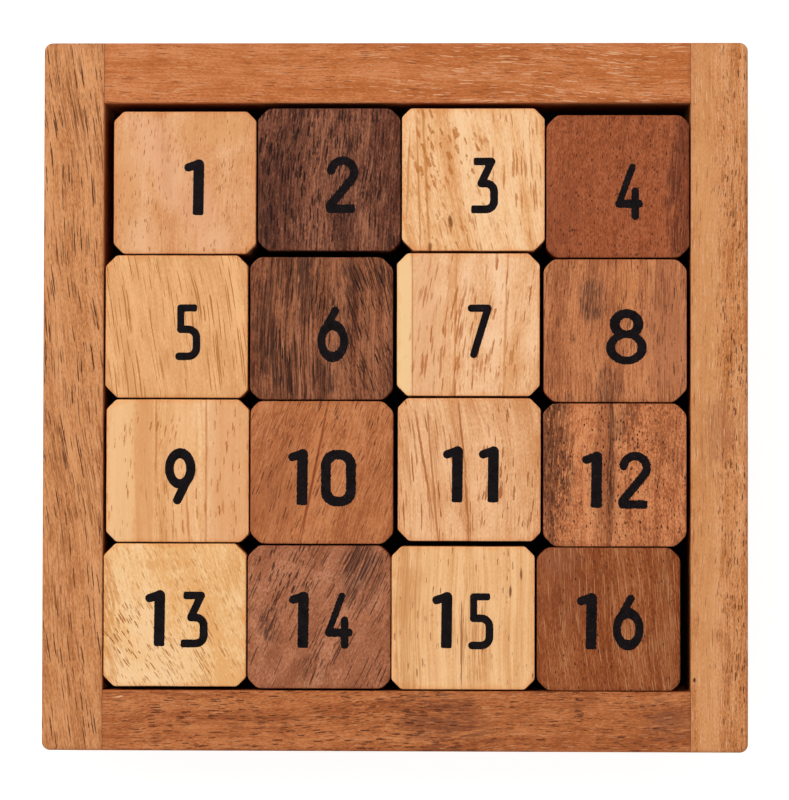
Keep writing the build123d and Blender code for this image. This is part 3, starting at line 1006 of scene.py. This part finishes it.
def tile_outline(half_x, half_y, number):
    """The sanded outline of a tile seen from above, in mm about its middle. Its number picks its
    place in the noise."""
    corners = []
    for turn in range(4):
        cut = CORNER_CUT_MM + noise.noise(Vector((number * 3.7, turn * 5.1, 0.4))) * CORNER_UNEVEN_MM
        sign_x = (1, 1, -1, -1)[turn]
        sign_y = (-1, 1, 1, -1)[turn]
        on_y_side = Vector((sign_x * (half_x - cut), sign_y * half_y))
        on_x_side = Vector((sign_x * half_x, sign_y * (half_y - cut)))
        corners += [on_y_side, on_x_side] if turn % 2 == 0 else [on_x_side, on_y_side]
    easing = DARK_EASING if is_dark(number) else PALE_EASING
    points = smoothed(spread_points(corners, OUTLINE_STEP_MM), easing)
    result = []
    for point, direction in zip(points, outward(points)):
        spot = Vector((point.x / SANDING_WAVE_MM, point.y / SANDING_WAVE_MM, number * 2.3))
        result.append(point + direction * (noise.noise(spot) - 1) * SANDING_MM)
    return result


ARRIS_MM = 0.25
ARRIS_STEPS = 4
SIDE_STEPS = 6
TOP_INSETS_MM = (9.0, 6.0, 3.5, 1.8, 0.8)


def tile_profile(height):
    """(inset, drop) of each ring of a tile, from the middle of its top down to the middle of its bottom."""
    top = [(inset, 0.0) for inset in TOP_INSETS_MM]
    turns = [math.pi / 2 * step / ARRIS_STEPS for step in range(ARRIS_STEPS + 1)]
    upper = [(ARRIS_MM * (1 - math.sin(turn)), ARRIS_MM * (1 - math.cos(turn))) for turn in turns]
    sides = [(0.0, height * part / SIDE_STEPS) for part in range(1, SIDE_STEPS)]
    lower = [(inset, height - drop) for inset, drop in reversed(upper)]
    bottom = [(inset, height) for inset in reversed(TOP_INSETS_MM)]
    return top + upper + sides + lower + bottom


def lofted(rings):
    """A closed smooth bmesh through rings of points, the first above and the last below."""
    mesh_maker = bmesh.new()
    levels = [[mesh_maker.verts.new(point) for point in ring] for ring in rings]
    for upper, lower in zip(levels, levels[1:]):
        for index in range(len(upper)):
            following = (index + 1) % len(upper)
            mesh_maker.faces.new((upper[index], lower[index], lower[following], upper[following]))
    mesh_maker.faces.new(levels[0])
    mesh_maker.faces.new(list(reversed(levels[-1])))
    for face in mesh_maker.faces:
        face.smooth = True
    return mesh_maker


def tile_piece(number, material):
    """A tile with the slight unevenness of hand sanding."""
    node = f"tile_{number:02d}"
    low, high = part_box(node)
    middle = (low + high) / 2
    half_x = (high.x - low.x) / 2 / MM
    half_y = (high.y - low.y) / 2 / MM
    outline = tile_outline(half_x, half_y, number)
    directions = outward(outline)
    rings = []
    for inset, drop in tile_profile((high.z - low.z) / MM):
        if inset > ARRIS_MM:
            ring = [point * (1 - inset / half_x) for point in outline]
        else:
            ring = [point - direction * inset for point, direction in zip(outline, directions)]
        level = high.z - drop * MM
        rings.append([Vector((middle.x + p.x * MM, middle.y + p.y * MM, level)) for p in ring])
    add_to_tile(node + "_block", number, lofted(rings), material, node)


MERGE_DISTANCE = 1e-7
LEVEL_TOLERANCE = 1e-6


def numeral_loops(node):
    """The outlines of a CAD numeral's top, as closed lines of points in mm in the row frame."""
    mesh_maker = bmesh.new()
    mesh_maker.from_mesh(node.data)
    bmesh.ops.remove_doubles(mesh_maker, verts=mesh_maker.verts, dist=MERGE_DISTANCE)
    ceiling = max(vertex.co.z for vertex in mesh_maker.verts)
    top = [f for f in mesh_maker.faces if min(v.co.z for v in f.verts) > ceiling - LEVEL_TOLERANCE]
    inside_top = set(top)
    following = {}
    for face in top:
        for loop in face.loops:
            if not any(other in inside_top for other in loop.edge.link_faces if other is not face):
                following[loop.vert] = loop.link_loop_next.vert
    lines = []
    while following:
        start, vertex = following.popitem()
        line = [start]
        while vertex is not start:
            line.append(vertex)
            vertex = following.pop(vertex)
        lines.append([Vector((v.co.x, v.co.y)) / MM for v in line])
    mesh_maker.free()
    return lines


INK_STEP_MM = 0.09
INK_EASING = 2
INK_BLEED_MM = 0.03
DARK_INK_ROUGH_MM = 0.10
PALE_INK_ROUGH_MM = 0.035
INK_WAVES_PER_MM = (3.1, 2.1)
INK_RIPPLES_PER_MM = (7.3, 4.4)
RIPPLE_SHARE = 0.6
RIPPLE_LAYER = 40  # the ripples come from another layer of the noise than the waves


def rim_noise(point, per_mm, layer):
    """The noise at a point of the rim, with so many waves per mm across and up the numeral."""
    across, up = per_mm
    return noise.noise(Vector((point.x * across, point.y * up, layer)))


def rough_line(points, number):
    """An inked outline: even steps, corners hardly eased, and a rim that bleeds into the wood."""
    roughness = DARK_INK_ROUGH_MM if is_dark(number) else PALE_INK_ROUGH_MM
    points = smoothed(spread_points(points, INK_STEP_MM), INK_EASING)
    result = []
    for point, direction in zip(points, outward(points)):
        wave = rim_noise(point, INK_WAVES_PER_MM, number)
        ripple = rim_noise(point, INK_RIPPLES_PER_MM, number + RIPPLE_LAYER)
        result.append(point + direction * (INK_BLEED_MM + roughness * (wave + RIPPLE_SHARE * ripple)))
    return result


def is_inside(point, loops):
    """True if the point has ink under it: it sees an odd number of outline crossings to its right."""
    crossings = 0
    for loop in loops:
        for start, end in zip(loop, loop[1:] + loop[:1]):
            if (start.y > point.y) != (end.y > point.y):
                share = (point.y - start.y) / (end.y - start.y)
                crossings += start.x + share * (end.x - start.x) > point.x
    return crossings % 2 == 1


TRIANGLES_INSIDE_EDGES = 1
SAME_POINT_MM = 1e-6


def filled(loops):
    """Points, and the triangles over them that fill the space between closed lines."""
    points = [point for loop in loops for point in loop]
    edges = []
    for loop in loops:
        first = len(edges)
        edges += [(first + index, first + (index + 1) % len(loop)) for index in range(len(loop))]
    flat = geometry.delaunay_2d_cdt(points, edges, [], TRIANGLES_INSIDE_EDGES, SAME_POINT_MM)
    points, triangles = flat[0], flat[2]
    faces = []
    for triangle in triangles:
        middle = sum((points[index] for index in triangle), Vector((0, 0))) / 3
        if is_inside(middle, loops):
            faces.append(tuple(triangle))
    return points, faces


def flat_solid(points, faces, floor, ceiling):
    """A closed solid between two levels, over flat counter-clockwise faces of points in mm."""
    mesh_maker = bmesh.new()
    lower = [mesh_maker.verts.new((p.x * MM, p.y * MM, floor)) for p in points]
    upper = [mesh_maker.verts.new((p.x * MM, p.y * MM, ceiling)) for p in points]
    sides = [pair for face in faces for pair in zip(face, face[1:] + face[:1])]
    known = set(sides)
    for face in faces:
        mesh_maker.faces.new([upper[index] for index in face])
        mesh_maker.faces.new([lower[index] for index in reversed(face)])
    for start, end in sides:
        if (end, start) not in known:
            mesh_maker.faces.new((upper[end], upper[start], lower[start], lower[end]))
    return mesh_maker


INK_RISE_MM = 0.012


def numeral_piece(number, material):
    """A numeral as ink: the CAD numeral's outline with a rough rim, a hair above the wood."""
    node = f"numeral_{number:02d}"
    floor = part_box(node)[0].z
    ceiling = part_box(f"tile_{number:02d}")[1].z + INK_RISE_MM * MM
    loops = [rough_line(line, number) for line in numeral_loops(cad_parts[node])]
    solid = flat_solid(*filled(loops), floor, ceiling)
    add_to_tile(node + "_ink", number, solid, material, node)


def finish_node(name, material):
    """Gives a CAD node that stays in view its material."""
    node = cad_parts[name]
    node.data.materials.clear()
    node.data.materials.append(material)


# -------------------------------- studio

FLOOR_HALF_SIZE = 2.0
FLOOR_DROP_MM = 0.2  # under the tray, so that the floor and the tray's underside don't mix


def floor():
    """The table under the tray. It isn't part of the object."""
    half = FLOOR_HALF_SIZE
    mesh = bpy.data.meshes.new("floor")
    corners = [(-half, -half, 0), (half, -half, 0), (half, half, 0), (-half, half, 0)]
    mesh.from_pydata(corners, [], [(0, 1, 2, 3)])
    table = new_piece("floor", mesh, floor_material())
    table.location.z = cad_bounds[0].z - FLOOR_DROP_MM * MM


# The dome is dark straight above, so that the tops show their own colour and no glare
DARK_ABOVE = 0.93
LIGHT_BELOW = 0.72
TOP_STRENGTH = 0.1
DOME_STRENGTH = 1.0


def dome():
    """Soft white light from all round."""
    world = bpy.data.worlds.new("studio")
    world.use_nodes = True
    tree = world.node_tree
    background = tree.nodes["Background"]
    height = add_node(tree, "ShaderNodeTexCoord", output="Generated").part(2)
    strength = height.ramp(DARK_ABOVE, LIGHT_BELOW) * (DOME_STRENGTH - TOP_STRENGTH) + TOP_STRENGTH
    plug(tree, background.inputs["Strength"], strength)
    plug(tree, background.inputs["Color"], WHITE)
    bpy.context.scene.world = world


SOFT_BOX_SIZE = 0.7
SOFT_BOX_POWER = 6.0
SOFT_BOX_PLACE = (-0.55, 0.6, 0.9)


def soft_box():
    """A large soft lamp above the far left corner, aimed at the tray."""
    light = bpy.data.lights.new("soft_box", "AREA")
    light.size = SOFT_BOX_SIZE
    light.energy = SOFT_BOX_POWER
    lamp = bpy.data.objects.new("soft_box", light)
    lamp.location = SOFT_BOX_PLACE
    lamp.rotation_mode = "QUATERNION"
    lamp.rotation_quaternion = lamp.location.to_track_quat("Z", "Y")
    bpy.context.scene.collection.objects.link(lamp)


# The camera looks almost straight down, a little right of the tray's middle and in front of it
CAMERA_PLACE = Vector((0.0137, -0.0140, 0.6217))
CAMERA_TARGET = Vector((-0.00003, -0.00065, 0.022))
CAMERA_ROLL = math.radians(0.12)
CAMERA_LENS = 152.4
CAMERA_SENSOR = 36


def camera():
    data = bpy.data.cameras.new("camera")
    data.lens = CAMERA_LENS
    data.sensor_width = CAMERA_SENSOR
    eye = bpy.data.objects.new("camera", data)
    back = (CAMERA_PLACE - CAMERA_TARGET).normalized()
    right = Vector((0, 1, 0)).cross(back).normalized()
    up = back.cross(right)
    turn = Matrix((right, up, back)).transposed()
    eye.rotation_mode = "QUATERNION"
    eye.rotation_quaternion = Quaternion(back, CAMERA_ROLL) @ turn.to_quaternion()
    eye.location = CAMERA_PLACE
    bpy.context.scene.collection.objects.link(eye)
    bpy.context.scene.camera = eye


# -------------------------------- the scene

FIRST_RAIL_SEED = 30

for index, (rail, look) in enumerate(RAIL_LOOKS.items()):
    finish_node(rail, wood(rail + "_wood", rail, look, seed=FIRST_RAIL_SEED + index))

finish_node("base_panel", plywood())
bright_steel = steel()
finish_node("frame_brads", bright_steel)
finish_node("panel_pins", bright_steel)

ink_on_pale = ink("ink_on_pale", speck_colour=srgb(150, 104, 68), speck_share=0.0)
ink_on_dark = ink("ink_on_dark", speck_colour=srgb(112, 66, 44), speck_share=0.55)
for number in range(1, TILE_COUNT + 1):
    node = f"tile_{number:02d}"
    tile_wood = wood(node + "_wood", node, TILE_LOOKS[number], seed=number, cut=CORNER_CUT_MM)
    tile_piece(number, tile_wood)
    numeral_piece(number, ink_on_dark if is_dark(number) else ink_on_pale)

bpy.context.scene.view_settings.view_transform = "Standard"
floor()
dome()
soft_box()
camera()
